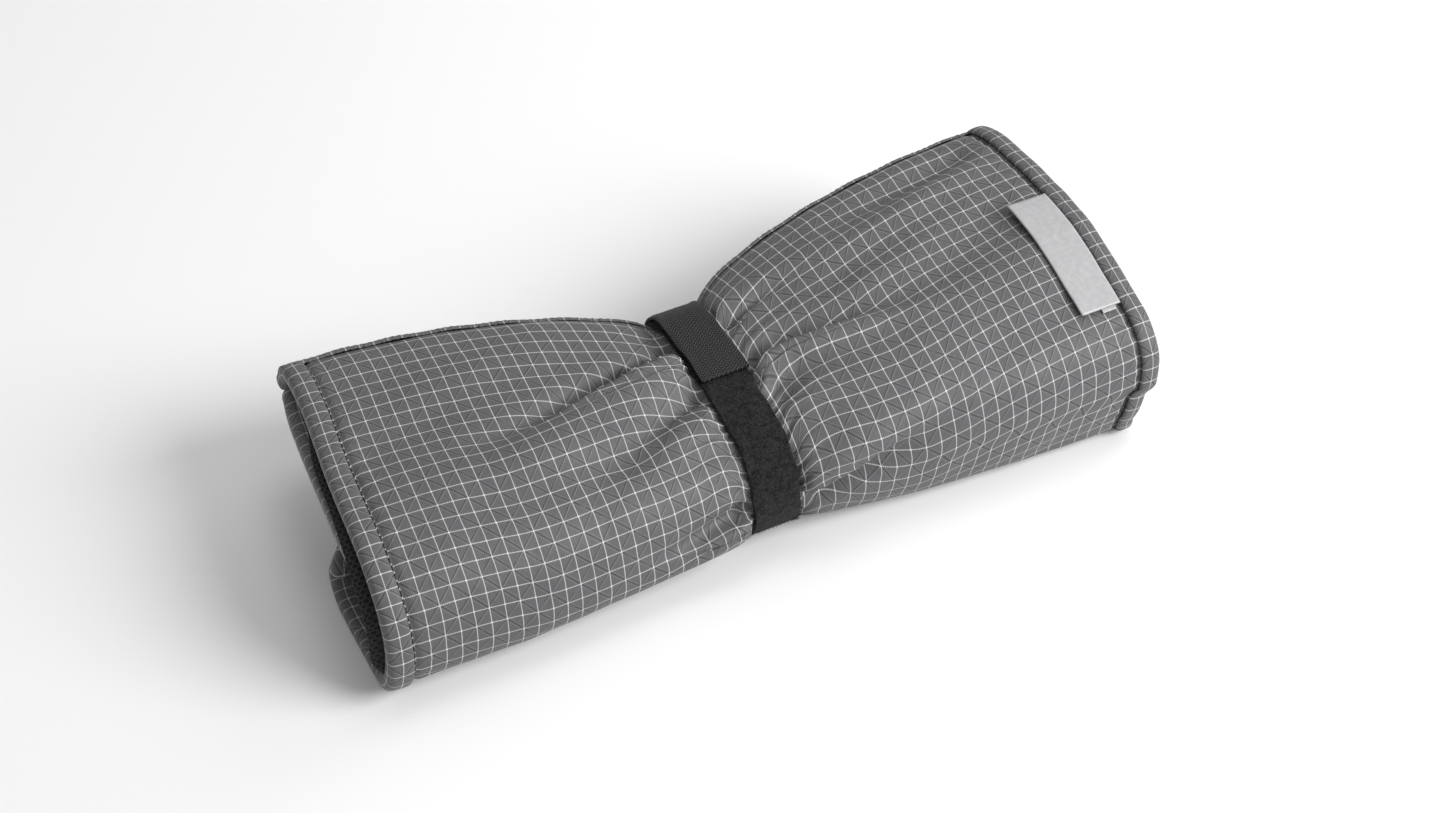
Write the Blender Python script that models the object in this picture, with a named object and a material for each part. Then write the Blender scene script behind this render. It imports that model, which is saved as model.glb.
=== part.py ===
"""A padded camp organiser mat, rolled flat and pinched at its waist by a hook-and-loop strap.

The mat is one long quilted cloth: a ripstop skin, a foam sheet and a mesh lining, bound all
round with tape. It is rolled up as a spiral of about one and a half turns. X runs along the
roll, the free flap edge lies on top at the back (+Y), and the roll rests on Z = 0 on the
flat undersides of its two end bindings. The origin is at the middle of that footprint.
"""
import math

import bmesh
import bpy
import numpy as np
from mathutils import Matrix, Vector

# ---- driving dimensions, in metres ----
ROLL_LENGTH = 0.266
LEFT_DEPTH = 0.105
LEFT_HEIGHT = 0.0455
LEFT_MIDDLE = 0.0022
RIGHT_DEPTH = 0.107
RIGHT_HEIGHT = 0.053
RIGHT_MIDDLE = -0.0005
WAIST_DEPTH = 0.070
WAIST_HEIGHT = 0.039
WAIST_MIDDLE = -0.0090
WAIST_LIFT = 0.0022

CLEARANCE = 0.0003
SKIN = 0.0004
FOAM = 0.0016
LINING = 0.0007
TAPE = 0.0005
TAPE_WIDTH = 0.0070
TAPE_MARGIN = 0.0025
FOLD_RADIUS = 0.0050
THREAD_RADIUS = 0.00025

STRAP_WIDTH = 0.0160
STRAP_THICKNESS = 0.0014
STRAP_CORNER = 0.0100
STRAP_MARGIN = 0.0020
TAB_LENGTH = 0.0280
TAB_ROOT_LENGTH = 0.0330
TAB_HINGE_Y = 0.0170
BOX_STITCH_HEIGHT = 0.0100

LABEL_LENGTH = 0.0450
LABEL_WIDTH = 0.0135
LABEL_THICKNESS = 0.0005
LABEL_CENTRE_Y = -0.0100
TAG_LENGTH = 0.0120
TAG_WIDTH = 0.0060
TAG_THICKNESS = 0.0003
TAG_SHOWING = 0.0020

# ---- values that follow from them ----
STACK = SKIN + FOAM + LINING + 2 * CLEARANCE
BASE = TAPE + CLEARANCE
PITCH = STACK + 2 * (TAPE + CLEARANCE) + 3 * CLEARANCE
HALF_LENGTH = ROLL_LENGTH / 2
PLATEAU = STRAP_WIDTH / 2 + STRAP_MARGIN

COLLECTION = "camp_organiser_roll"
# the stations between the strap and the tapes, as shares of the half length
STATION_SHARES = (0.25, 0.47, 0.70)
MM = 0.001


def clear_scene():
    for thing in list(bpy.data.objects):
        bpy.data.objects.remove(thing, do_unlink=True)


def material(name, colour, roughness):
    made = bpy.data.materials.new(name)
    made.use_nodes = True
    shader = made.node_tree.nodes["Principled BSDF"]
    shader.inputs["Base Color"].default_value = (*colour, 1.0)
    shader.inputs["Roughness"].default_value = roughness
    shader.inputs["Metallic"].default_value = 0.0
    return made


# ---- the three key sections ----
# A section is a list of (y, z, inset): inset is how far the cloth's end stays short of the
# roll's end there. Each starts at the free flap edge and winds inwards.

def nested_turn(outer, inset, rising):
    """the fold under the flap's edge, then a turn lying one pitch inside the outer one;
    the cloth comes into the fold rising from below, or level from the front"""
    back, top = outer[0][0], outer[0][1]
    y = back - CLEARANCE - FOLD_RADIUS
    z = top - PITCH - FOLD_RADIUS
    diagonal = FOLD_RADIUS * math.sqrt(0.5)
    start = (y + FOLD_RADIUS, z - FOLD_RADIUS) if rising else (y + diagonal, z - diagonal)
    fold = [start, (y + FOLD_RADIUS, z), (y + diagonal, z + diagonal), (y, z + FOLD_RADIUS)]
    turn = []
    for before, here, after in zip(outer[0:5], outer[1:6], outer[2:7]):
        along = np.array(after[:2]) - np.array(before[:2])
        inward = np.array((-along[1], along[0])) / np.linalg.norm(along)
        turn.append(tuple(np.array(here[:2]) + PITCH * inward))
    return [(*point, inset) for point in fold + turn]


def left_section():
    back = LEFT_MIDDLE + LEFT_DEPTH / 2
    front = LEFT_MIDDLE - LEFT_DEPTH / 2
    top = LEFT_HEIGHT + BASE
    lobe = front + 0.49 * LEFT_DEPTH
    fold_low = top - PITCH - 2 * FOLD_RADIUS
    outer = [(back, top, 9 * MM),
             (back - 22 * MM, top, 6 * MM),
             (front + 0.50 * LEFT_DEPTH, top, 4 * MM),
             (front + 22 * MM, top - 2 * MM, 4 * MM),
             (front + 6 * MM, top - 11 * MM, 3 * MM),
             (front, top - 24 * MM, 3 * MM),
             (front + 6 * MM, BASE + 7 * MM, 1 * MM),
             (front + 20 * MM, BASE, 0),
             (lobe - 12 * MM, BASE, 0),
             (lobe - 1 * MM, BASE + 7 * MM, 0),
             (lobe, BASE + 15 * MM, 1 * MM),
             (lobe + 7 * MM, BASE + 22 * MM, 3 * MM),
             (lobe + 0.22 * LEFT_DEPTH, BASE + 24 * MM, 4 * MM),
             (lobe + 0.38 * LEFT_DEPTH, fold_low - 1.5 * MM, 4 * MM)]
    return outer + nested_turn(outer, 5 * MM, False)


def right_section():
    back = RIGHT_MIDDLE + RIGHT_DEPTH / 2
    front = RIGHT_MIDDLE - RIGHT_DEPTH / 2
    top = RIGHT_HEIGHT + BASE
    outer = [(back, top - 4 * MM, 2 * MM),
             (back - 20 * MM, top - 1 * MM, 1 * MM),
             (front + 0.47 * RIGHT_DEPTH, top, 0),
             (front + 25 * MM, top - 5 * MM, 0),
             (front + 6 * MM, top - 13 * MM, 1 * MM),
             (front, top - 27 * MM, 1 * MM),
             (front + 4 * MM, BASE + 8 * MM, 6 * MM),
             (front + 16 * MM, BASE, 6 * MM),
             (back - 42 * MM, BASE, 6 * MM),
             (back - 22 * MM, BASE + 2 * MM, 5 * MM),
             (back - 11 * MM, BASE + 9 * MM, 5 * MM),
             (back - 5 * MM, BASE + 18 * MM, 5 * MM),
             (back - 2 * MM, BASE + 24 * MM, 5 * MM),
             (back - 0.6 * MM, BASE + 29 * MM, 5 * MM)]
    return outer + nested_turn(outer, 5 * MM, True)


def waist_section():
    back = WAIST_MIDDLE + WAIST_DEPTH / 2
    front = WAIST_MIDDLE - WAIST_DEPTH / 2
    low = BASE + WAIST_LIFT
    top = low + WAIST_HEIGHT
    rise = top - PITCH - 2 * FOLD_RADIUS - low
    outer = [(back - 5 * MM, top - 3 * MM, 0),
             (back - 20 * MM, top - 0.4 * MM, 0),
             (front + 0.50 * WAIST_DEPTH, top, 0),
             (front + 21 * MM, top - 1 * MM, 0),
             (front + 7 * MM, top - 7 * MM, 0),
             (front, top - 18 * MM, 0),
             (front + 3 * MM, low + 7 * MM, 0),
             (front + 14 * MM, low, 0),
             (front + 29 * MM, low, 0),
             (back - 24 * MM, low, 0),
             (back - 11 * MM, low + 0.09 * rise, 0),
             (back - 3 * MM, low + 0.30 * rise, 0),
             (back - 0.3 * MM, low + 0.54 * rise, 0),
             (back - 2.6 * MM, low + 0.77 * rise, 0)]
    return outer + nested_turn(outer, 0, True)


def smooth_open(points, steps):
    """a Catmull-Rom curve through the points, each span cut into its own number of steps"""
    rows = np.array(points, dtype=float)
    curve = []
    for index, count in enumerate(steps):
        before = rows[max(index - 1, 0)]
        start, end = rows[index], rows[index + 1]
        after = rows[min(index + 2, len(rows) - 1)]
        for step in range(count):
            t = step / count
            curve.append(0.5 * (2 * start + (end - before) * t
                                + (2 * before - 5 * start + 4 * end - after) * t ** 2
                                + (3 * start - before - 3 * end + after) * t ** 3))
    curve.append(rows[-1])
    return np.array(curve)


# more steps where the cloth bends: the front fold, the lower folds and the back fold
SPAN_STEPS = [1, 2, 2, 2, 2, 2, 2, 1, 2, 2, 2, 2, 1, 2, 1, 2, 1, 1, 1, 2, 2, 1]


def keep_above(curve, floor):
    """the undersides rest flat, so the curve is held at the floor's height or higher"""
    held = curve.copy()
    held[:, 1] = np.maximum(held[:, 1], floor)
    return held


class Cloth:
    """the mat's outer face, as a grid of points: one row for each station along the roll"""

    def __init__(self):
        left = keep_above(smooth_open(left_section(), SPAN_STEPS), BASE)
        waist = keep_above(smooth_open(waist_section(), SPAN_STEPS), BASE + WAIST_LIFT)
        right = keep_above(smooth_open(right_section(), SPAN_STEPS), BASE)
        edge = 1 - (TAPE_WIDTH + TAPE_MARGIN) / HALF_LENGTH
        near = PLATEAU / HALF_LENGTH
        right_half = [near, *STATION_SHARES, edge, 1]
        self.shares = [-share for share in right_half[::-1]] + right_half
        self.rows = [self.station(share, left, waist, right, near) for share in self.shares]

    @staticmethod
    def station(share, left, waist, right, near):
        end = left if share < 0 else right
        reach = max(0.0, (abs(share) - near) / (1 - near))
        spread = math.sin(reach * math.pi / 2)
        section = waist + (end - waist) * spread
        x = np.sign(share) * (abs(share) * HALF_LENGTH - reach * end[:, 2])
        return np.column_stack((x, section[:, 0], section[:, 1]))

    def outward(self, row):
        """unit vectors away from the cloth, square to the section's curve"""
        along = np.gradient(row, axis=0)
        away = np.column_stack((np.zeros(len(row)), along[:, 2], -along[:, 1]))
        return away / np.linalg.norm(away, axis=1)[:, None]

    def at(self, share, depth):
        """the section at a share of the half length, moved in by a depth"""
        row = self.row_at(share)
        return row - depth * self.outward(row)

    def row_at(self, share):
        for first, second, low, high in zip(self.shares, self.shares[1:], self.rows, self.rows[1:]):
            if share <= second + 1e-9:
                blend = (share - first) / (second - first)
                return low + (high - low) * blend
        return self.rows[-1]


def link(name, mesh, look, collection, pivot=(0.0, 0.0, 0.0)):
    """the object keeps its place, with its origin at the pivot"""
    mesh.transform(Matrix.Translation(-Vector(pivot)))
    mesh.materials.append(look)
    mesh.shade_smooth()
    made = bpy.data.objects.new(name, mesh)
    made.location = pivot
    collection.objects.link(made)
    return made


def slab_mesh(name, outer, inner, closed=False):
    """a solid sheet between two grids of points that match row for row and column for column

    The outer grid's faces look along (column step) x (row step). A closed sheet's last column
    joins its first. Solidify would thicken square to each facet, and the layers' gaps would
    close in the tight folds, so both faces are lofted through the sections instead.
    """
    sheet = bmesh.new()
    outside = [[sheet.verts.new(point) for point in row] for row in outer]
    inside = [[sheet.verts.new(point) for point in row] for row in inner]
    columns = len(outer[0])
    spans = [(index, (index + 1) % columns) for index in range(columns if closed else columns - 1)]
    for row in range(len(outer) - 1):
        for first, second in spans:
            sheet.faces.new((outside[row][first], outside[row][second],
                             outside[row + 1][second], outside[row + 1][first]))
            sheet.faces.new((inside[row][first], inside[row + 1][first],
                             inside[row + 1][second], inside[row][second]))
    for first, second in spans:
        sheet.faces.new((outside[0][second], outside[0][first], inside[0][first], inside[0][second]))
        sheet.faces.new((outside[-1][first], outside[-1][second],
                         inside[-1][second], inside[-1][first]))
    if not closed:
        for row in range(len(outer) - 1):
            for column, (low, high) in ((0, (row, row + 1)), (-1, (row + 1, row))):
                sheet.faces.new((outside[low][column], outside[high][column],
                                 inside[high][column], inside[low][column]))
    mesh = bpy.data.meshes.new(name)
    sheet.to_mesh(mesh)
    sheet.free()
    return mesh


# ---- the mat's layers and bindings ----

def trimmed(row, distance):
    """the row with both ends drawn in along the curve"""
    cut = row.copy()
    start, end = row[1] - row[0], row[-2] - row[-1]
    cut[0] = row[0] + start / np.linalg.norm(start) * distance
    cut[-1] = row[-1] + end / np.linalg.norm(end) * distance
    return cut


def layer(name, cloth, depth, thickness, look, collection):
    """one layer of the mat, which stops inside the bindings on all four edges"""
    margin = TAPE + CLEARANCE
    end = 1 - margin / HALF_LENGTH
    shares = [-end] + cloth.shares[1:-1] + [end]
    outer = [trimmed(cloth.at(share, depth), margin) for share in shares]
    inner = [trimmed(cloth.at(share, depth + thickness), margin) for share in shares]
    return link(name, slab_mesh(name, outer, inner), look, collection)


def end_binding(name, cloth, side, look, collection):
    """tape folded round an end of the mat: outer face, rim, and inner face"""
    hem = side * (1 - TAPE_WIDTH / HALF_LENGTH)
    rim = side * (1 - TAPE / HALF_LENGTH)
    face, back = -(CLEARANCE + TAPE), STACK + CLEARANCE + TAPE
    outer = [(hem, face), (side, face), (side, back), (hem, back)]
    inner = [(hem, face + TAPE), (rim, face + TAPE), (rim, back - TAPE), (hem, back - TAPE)]
    order = 1 if side > 0 else -1
    rows = [[cloth.at(*place) for place in profile[::order]] for profile in (outer, inner)]
    return link(name, slab_mesh(name, *rows), look, collection)


def travel(row):
    """the distance along the row at each of its points"""
    steps = np.linalg.norm(np.diff(row, axis=0), axis=1)
    return np.concatenate(([0], np.cumsum(steps)))


def drawn(row, distance):
    """the point that lies a distance along the row"""
    travelled = travel(row)
    return np.array([np.interp(distance, travelled, row[:, axis]) for axis in range(3)])


def long_binding(name, cloth, first, look, collection):
    """tape folded round one of the two long edges, between the end bindings"""
    gap = 1 - (TAPE_WIDTH + CLEARANCE) / HALF_LENGTH
    shares = [-gap] + cloth.shares[2:-2] + [gap]
    face, back = -(CLEARANCE + TAPE), STACK + CLEARANCE + TAPE
    outer = [(face, TAPE_WIDTH), (face, 0), (back, 0), (back, TAPE_WIDTH)]
    inner = [(face + TAPE, TAPE_WIDTH), (face + TAPE, TAPE), (back - TAPE, TAPE),
             (back - TAPE, TAPE_WIDTH)]
    order = -1 if first else 1
    rows = [[], []]
    for share in shares:
        for made, profile in zip(rows, (outer, inner)):
            made.append([drawn(cloth.at(share, depth)[::-order], distance)
                         for depth, distance in profile[::order]])
    return link(name, slab_mesh(name, *rows), look, collection)


def thread(name, points, cyclic, look, collection):
    """a sewn line, drawn as a round thread"""
    curve = bpy.data.curves.new(name, "CURVE")
    curve.dimensions = "3D"
    curve.bevel_depth = THREAD_RADIUS
    curve.bevel_resolution = 1
    curve.use_fill_caps = not cyclic
    line = curve.splines.new("POLY")
    line.points.add(len(points) - 1)
    for slot, point in zip(line.points, points):
        slot.co = (*point, 1.0)
    line.use_cyclic_u = cyclic
    curve.materials.append(look)
    made = bpy.data.objects.new(name, curve)
    collection.objects.link(made)
    return made


def seam_thread(name, cloth, side, look, collection):
    """the sewn line beside an end binding, clear of the long edges' tapes"""
    beside = TAPE_WIDTH + CLEARANCE + THREAD_RADIUS
    row = cloth.at(side * (1 - beside / HALF_LENGTH), -(CLEARANCE + THREAD_RADIUS))
    travelled = travel(row)
    margin = TAPE_WIDTH + 2 * CLEARANCE + THREAD_RADIUS
    kept = (travelled > margin) & (travelled < travelled[-1] - margin)
    return thread(name, row[kept], False, look, collection)


# ---- the strap: a band round the waist, and a hook tab laid back over it ----

def band_outline(cloth):
    """the band's inner face at the waist: it lies on the mat and bridges the flap's edge"""
    steps_to_lap = sum(SPAN_STEPS[:12])
    waist = cloth.at(0, -CLEARANCE)[2:steps_to_lap + 1, 1:]
    back = WAIST_MIDDLE + WAIST_DEPTH / 2
    top = BASE + WAIST_LIFT + WAIST_HEIGHT
    bridge = [(back + 0.2 * MM, top - 18 * MM), (back + 0.2 * MM, top - 11 * MM),
              (back - 1.4 * MM, top - 5.4 * MM), (back - 5.6 * MM, top - 1.4 * MM),
              (back - 12.5 * MM, top + 0.3 * MM)]
    return np.vstack((waist, bridge))


def closed_outward(outline):
    """unit vectors away from a closed outline that runs over the top to the front"""
    along = np.roll(outline, -1, axis=0) - np.roll(outline, 1, axis=0)
    away = np.column_stack((along[:, 1], -along[:, 0]))
    return away / np.linalg.norm(away, axis=1)[:, None]


def strap_piece(name, outline, inner, closed, look, collection, pivot=(0.0, 0.0, 0.0)):
    """a stretch of webbing as wide as the strap, between its outer and inner outlines"""
    grids = [[[(side * STRAP_WIDTH / 2, y, z) for y, z in line] for side in (-1, 1)]
             for line in (outline, inner)]
    return link(name, slab_mesh(name, *grids, closed), look, collection, pivot)


def strap_band(outline, look, collection):
    outer = outline + STRAP_THICKNESS * closed_outward(outline)
    return strap_piece("strap_loop_band", outer, outline, True, look, collection)


def overlay(outline):
    """a second strap layer over the band, cut at the hinge line: rows of (y, z) on its outer
    and inner faces, one run going forward from the hinge and one going back"""
    away = closed_outward(outline)
    low = STRAP_THICKNESS + CLEARANCE
    faces = np.hstack((outline + (low + STRAP_THICKNESS) * away, outline + low * away))
    flat = faces[:, 1] > faces[:, 1].max() - STRAP_CORNER / 2
    behind = np.flatnonzero(flat & (faces[:, 0] > TAB_HINGE_Y))
    last = behind[np.argmin(faces[behind, 0])]
    following = (last + 1) % len(faces)
    share = (faces[last, 0] - TAB_HINGE_Y) / (faces[last, 0] - faces[following, 0])
    hinge = faces[last] + (faces[following] - faces[last]) * share
    forward = np.vstack((hinge, np.roll(faces, -following, axis=0)))
    backward = np.vstack((hinge, np.roll(faces, -following, axis=0)[::-1]))
    return forward, backward


def measured(faces, start, end):
    """the stretch between two distances along the outer face, with the corners between"""
    travelled = travel(faces[:, :2])
    inside = (travelled > start + 0.1 * MM) & (travelled < end - 0.1 * MM)
    cuts = [[np.interp(at, travelled, faces[:, axis]) for axis in range(4)] for at in (start, end)]
    return np.vstack((cuts[0], faces[inside], cuts[1]))


def hook_tab(forward, look, collection):
    """the free end of the strap, which peels up about its root's upper edge"""
    line = measured(forward, CLEARANCE / 2, TAB_LENGTH)
    pivot = (0.0, line[0][0], line[0][1])
    return strap_piece("strap_hook_tab", line[:, :2], line[:, 2:], False, look, collection, pivot)


def hook_root(backward, look, collection):
    """the sewn part of the hook strap, down the back of the band"""
    line = measured(backward, CLEARANCE / 2, TAB_ROOT_LENGTH)[::-1]
    return strap_piece("strap_hook_root", line[:, :2], line[:, 2:], False, look, collection)


def box_stitch(backward, look, collection):
    """the square of stitching that holds the hook strap to the band"""
    margin = 2 * MM
    start = TAB_ROOT_LENGTH - margin - BOX_STITCH_HEIGHT
    line = measured(backward, start, TAB_ROOT_LENGTH - margin)
    away = line[:, :2] - line[:, 2:]
    away /= np.linalg.norm(away, axis=1)[:, None]
    run = line[:, :2] + (CLEARANCE + THREAD_RADIUS) * away
    half = STRAP_WIDTH / 2 - margin
    loop = [(half, y, z) for y, z in run] + [(-half, y, z) for y, z in run[::-1]]
    return thread("strap_box_stitch", loop, True, look, collection)


# ---- the labels, sewn in beside the right end's binding ----

def between(row, behind, ahead):
    """the stretch of the top face's row between two places in Y, with its own corners"""
    top = row[:sum(SPAN_STEPS[:5])]
    depths = -top[:, 1]
    ends = [[np.interp(-y, depths, top[:, axis]) for axis in range(3)] for y in (behind, ahead)]
    inside = (top[:, 1] < behind - 1e-5) & (top[:, 1] > ahead + 1e-5)
    return np.vstack((ends[0], top[inside], ends[1]))


def patch(cloth, width, behind, ahead, height, thickness):
    """a patch of cloth on the mat beside the seam: the rows of its outer and inner faces"""
    seam = TAPE_WIDTH + 3 * CLEARANCE + 2 * THREAD_RADIUS
    edges = (1 - (seam + width) / HALF_LENGTH, 1 - seam / HALF_LENGTH)
    return [[between(cloth.at(edge, -level), behind, ahead) for edge in edges]
            for level in (height + thickness, height)]


def over_the_crown(edge):
    """a point on the line along an arched edge that just touches its crown"""
    chord = edge[-1] - edge[0]
    square = np.array((0.0, chord[2], -chord[1])) / np.linalg.norm(chord[1:])
    rise = ((edge - edge[0]) @ square).max()
    return (edge[0] + edge[-1]) / 2 + rise * square


def woven_label(cloth, look, collection):
    """the main label, hinged along the line over its sewn edge"""
    half = LABEL_LENGTH / 2
    height = 2 * CLEARANCE + TAG_THICKNESS
    outer, inner = patch(cloth, LABEL_WIDTH, LABEL_CENTRE_Y + half, LABEL_CENTRE_Y - half,
                         height, LABEL_THICKNESS)
    mesh = slab_mesh("woven_label", outer, inner)
    return link("woven_label", mesh, look, collection, over_the_crown(outer[1]))


def side_tag(cloth, pivot, look, collection):
    """a small tag in the same seam, whose end shows past the label"""
    ahead = LABEL_CENTRE_Y - LABEL_LENGTH / 2 - TAG_SHOWING
    outer, inner = patch(cloth, TAG_WIDTH, ahead + TAG_LENGTH, ahead, CLEARANCE, TAG_THICKNESS)
    return link("side_tag", slab_mesh("side_tag", outer, inner), look, collection, pivot)


def main():
    clear_scene()
    parts = bpy.data.collections.new(COLLECTION)
    bpy.context.scene.collection.children.link(parts)

    ripstop = material("ripstop", (0.13, 0.13, 0.135), 0.62)
    foam = material("foam", (0.55, 0.55, 0.52), 0.9)
    mesh = material("mesh", (0.02, 0.02, 0.02), 0.7)
    sewing = material("sewing_thread", (0.08, 0.08, 0.085), 0.6)
    pile = material("loop_pile", (0.012, 0.012, 0.012), 0.95)
    webbing = material("hook_webbing", (0.018, 0.018, 0.018), 0.7)
    satin = material("label_satin", (0.5, 0.53, 0.54), 0.4)
    tag = material("tag_weave", (0.75, 0.75, 0.75), 0.5)

    cloth = Cloth()
    layer("ripstop_skin", cloth, 0, SKIN, ripstop, parts)
    layer("foam_sheet", cloth, SKIN + CLEARANCE, FOAM, foam, parts)
    layer("mesh_lining", cloth, SKIN + FOAM + 2 * CLEARANCE, LINING, mesh, parts)
    for name, side in (("left", -1), ("right", 1)):
        end_binding(name + "_end_binding", cloth, side, ripstop, parts)
        seam_thread(name + "_seam_thread", cloth, side, sewing, parts)
    long_binding("flap_edge_binding", cloth, True, ripstop, parts)
    long_binding("inner_edge_binding", cloth, False, ripstop, parts)

    outline = band_outline(cloth)
    strap_band(outline, pile, parts)
    forward, backward = overlay(outline)
    hook_tab(forward, webbing, parts)
    hook_root(backward, webbing, parts)
    box_stitch(backward, sewing, parts)

    label = woven_label(cloth, satin, parts)
    side_tag(cloth, label.location, tag, parts)


main()
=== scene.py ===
"""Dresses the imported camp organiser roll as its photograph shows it: woven skin, bindings,
mesh lining, strap and labels, on a pale floor in soft light."""
import math

import bpy
import numpy as np
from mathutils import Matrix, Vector


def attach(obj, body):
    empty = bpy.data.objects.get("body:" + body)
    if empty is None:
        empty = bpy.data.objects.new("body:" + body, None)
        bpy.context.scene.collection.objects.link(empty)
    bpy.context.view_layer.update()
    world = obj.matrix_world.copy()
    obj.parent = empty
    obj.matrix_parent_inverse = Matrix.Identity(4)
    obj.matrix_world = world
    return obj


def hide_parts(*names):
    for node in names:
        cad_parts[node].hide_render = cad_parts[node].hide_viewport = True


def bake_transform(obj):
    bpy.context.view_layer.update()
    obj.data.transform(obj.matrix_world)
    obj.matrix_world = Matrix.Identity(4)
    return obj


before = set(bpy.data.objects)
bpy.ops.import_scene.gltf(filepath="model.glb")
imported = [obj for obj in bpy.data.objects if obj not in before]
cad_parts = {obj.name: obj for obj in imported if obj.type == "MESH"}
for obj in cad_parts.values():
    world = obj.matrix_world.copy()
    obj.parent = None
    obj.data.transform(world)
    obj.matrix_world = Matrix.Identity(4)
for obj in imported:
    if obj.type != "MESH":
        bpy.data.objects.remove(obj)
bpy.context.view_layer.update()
MM = 0.001

# ---- the roll, in millimetres: X along it, +Y to the free flap's edge at the back, Z up ----
HALF_LENGTH = 133.0
STRAP_HALF = 8.0
PLATEAU = 9.0  # the section stays the waist's own this far from the middle
SKIN = 0.4
LINING = 0.5
LINING_DEPTH = 4.4  # from the skin's outer face to the lining's inner one
SKIN_STOP = 0.9  # from the skin's side edge to the end binding's fold
BASE = 0.8  # the ends' lowest outer face, with room for the binding under it
PLY_PITCH = 5.8  # from one turn's outer face to the next one's
FOLD_RADIUS = 5.0  # of the fold under the flap's edge
FLAP_ROOM = 4.8  # between that fold and the flap's edge
TAPE_WIDTH = (7.0, 5.8)  # at the left end, at the right end
TAPE_CLOTH = 0.45
GROOVE_GAP = 1.0  # from an end binding's inner edge to the middle of its groove
STITCH_GAP = 0.55  # from the same edge to its stitches
GRID = 5.0  # the ripstop's white squares
CLOTH_STEP = 1.0
SPAN_CUTS = 14  # steps in each span of a section's curve
# the cloth swells fast beside the strap, left and right of it: 1 would be a plain sine
SWELL = (0.70, 0.58)

LEFT = {"back": 54.7, "front": -50.3, "top": 46.3}
RIGHT = {"back": 53.0, "front": -54.8, "top": 53.8}
WAIST = {"back": 26.0, "front": -44.0, "top": 42.0, "low": 3.0}

# each section runs from the flap's hem over the top, down the front, under and up the back to
# the fold under the flap, then once more inside; these spans of it are the top and the front
TOP_FACE = slice(0, 6 * SPAN_CUTS)
FRONT_FACE = slice(5 * SPAN_CUTS, 8 * SPAN_CUTS)


# a section's points are (y, z, how far the cloth's side edge stands back from the roll's end)
def nested_turn(outer, insets, rising, room=FLAP_ROOM, drop=0.0):
    """the fold under the flap's edge, then a turn one pitch and the drop inside the outer one"""
    back, top = outer[0][0], outer[0][1]
    y = back - room - FOLD_RADIUS
    z = top - PLY_PITCH - FOLD_RADIUS
    slant = FOLD_RADIUS * math.sqrt(0.5)
    start = (y + FOLD_RADIUS, z - FOLD_RADIUS) if rising else (y + slant, z - slant)
    fold = [start, (y + FOLD_RADIUS, z), (y + slant, z + slant), (y, z + FOLD_RADIUS)]
    turn = []
    for before, here, after in zip(outer[0:5], outer[1:6], outer[2:7]):
        along = np.array(after[:2]) - np.array(before[:2])
        inward = np.array((-along[1], along[0])) / np.linalg.norm(along)
        turn.append(tuple(np.array(here[:2]) + (PLY_PITCH + drop) * inward))
    return [(*point, value) for point, value in zip(fold + turn, insets)]


def left_section():
    """the left end: it lies on the floor in front, and rises behind a lobe to the fold"""
    back, front, top = LEFT["back"], LEFT["front"], LEFT["top"]
    depth = back - front
    lobe = front + 0.49 * depth
    low = top - PLY_PITCH - 2 * FOLD_RADIUS
    hem = [(back + 1.2, top - 7, 11.5)]
    outer = [(back - 4, top - 0.3, 12.5), (back - 22, top + 0.3, 12),
             (front + 0.5 * depth, top, 8.5), (front + 22, top - 2, 6.2),
             (front + 6, top - 11, 5.2), (front, top - 24, 4.5), (front + 0.8, BASE + 8, 3.2),
             (front + 12, BASE, 3.2), (lobe - 12, BASE, 3.2), (lobe - 1, BASE + 5, 4),
             (lobe + 0.5, BASE + 10, 5.5), (lobe + 7, BASE + 15, 12),
             (lobe + 0.22 * depth, BASE + 20, 19), (lobe + 0.38 * depth, low - 1.5, 17)]
    insets = (14, 11, 11, 10, 8, 5.5, 4.5, 12, 19)
    return hem + outer + nested_turn(outer, insets, rising=False, room=0.5, drop=1.6)


def right_section():
    """the right end: fuller, and on the floor almost to its back"""
    back, front, top = RIGHT["back"], RIGHT["front"], RIGHT["top"]
    depth = back - front
    hem = [(back + 1.2, top - 13, 3)]
    outer = [(back - 1.5, top - 5, 2), (back - 20, top - 1, 1), (front + 0.47 * depth, top, 0.5),
             (front + 25, top - 5, 1.3), (front + 6, top - 13, 1.3), (front, top - 27, 1),
             (front + 1.2, BASE + 7.5, 3.5), (front + 10.5, BASE, 5), (back - 42, BASE, 6),
             (back - 22, BASE + 2, 5), (back - 13, BASE + 8, 5), (back - 9, BASE + 16, 5),
             (back - 6.5, BASE + 22, 5), (back - 5, BASE + 28, 5)]
    return hem + outer + nested_turn(outer, (5,) * 9, rising=True)


def waist_section():
    """the roll under the strap"""
    back, front, top, low = WAIST["back"], WAIST["front"], WAIST["top"], WAIST["low"]
    rise = top - PLY_PITCH - 2 * FOLD_RADIUS - low
    hem = [(back + 0.4, top - 10, 0)]
    outer = [(back - 3.5, top - 2.5, 0), (back - 20, top + 0.6, 0), ((back + front) / 2, top, 0),
             (front + 21, top - 1, 0), (front + 6, top - 7, 0), (front - 1, top - 18, 0),
             (front + 0.2, low + 7.5, 0), (front + 11, low, 0), (front + 29, low, 0),
             (back - 24, low, 0), (back - 12, low + 0.09 * rise, 0),
             (back - 6, low + 0.3 * rise, 0), (back - 4.5, low + 0.54 * rise, 0),
             (back - 6, low + 0.77 * rise, 0)]
    return hem + outer + nested_turn(outer, (0,) * 9, rising=True)


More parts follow.
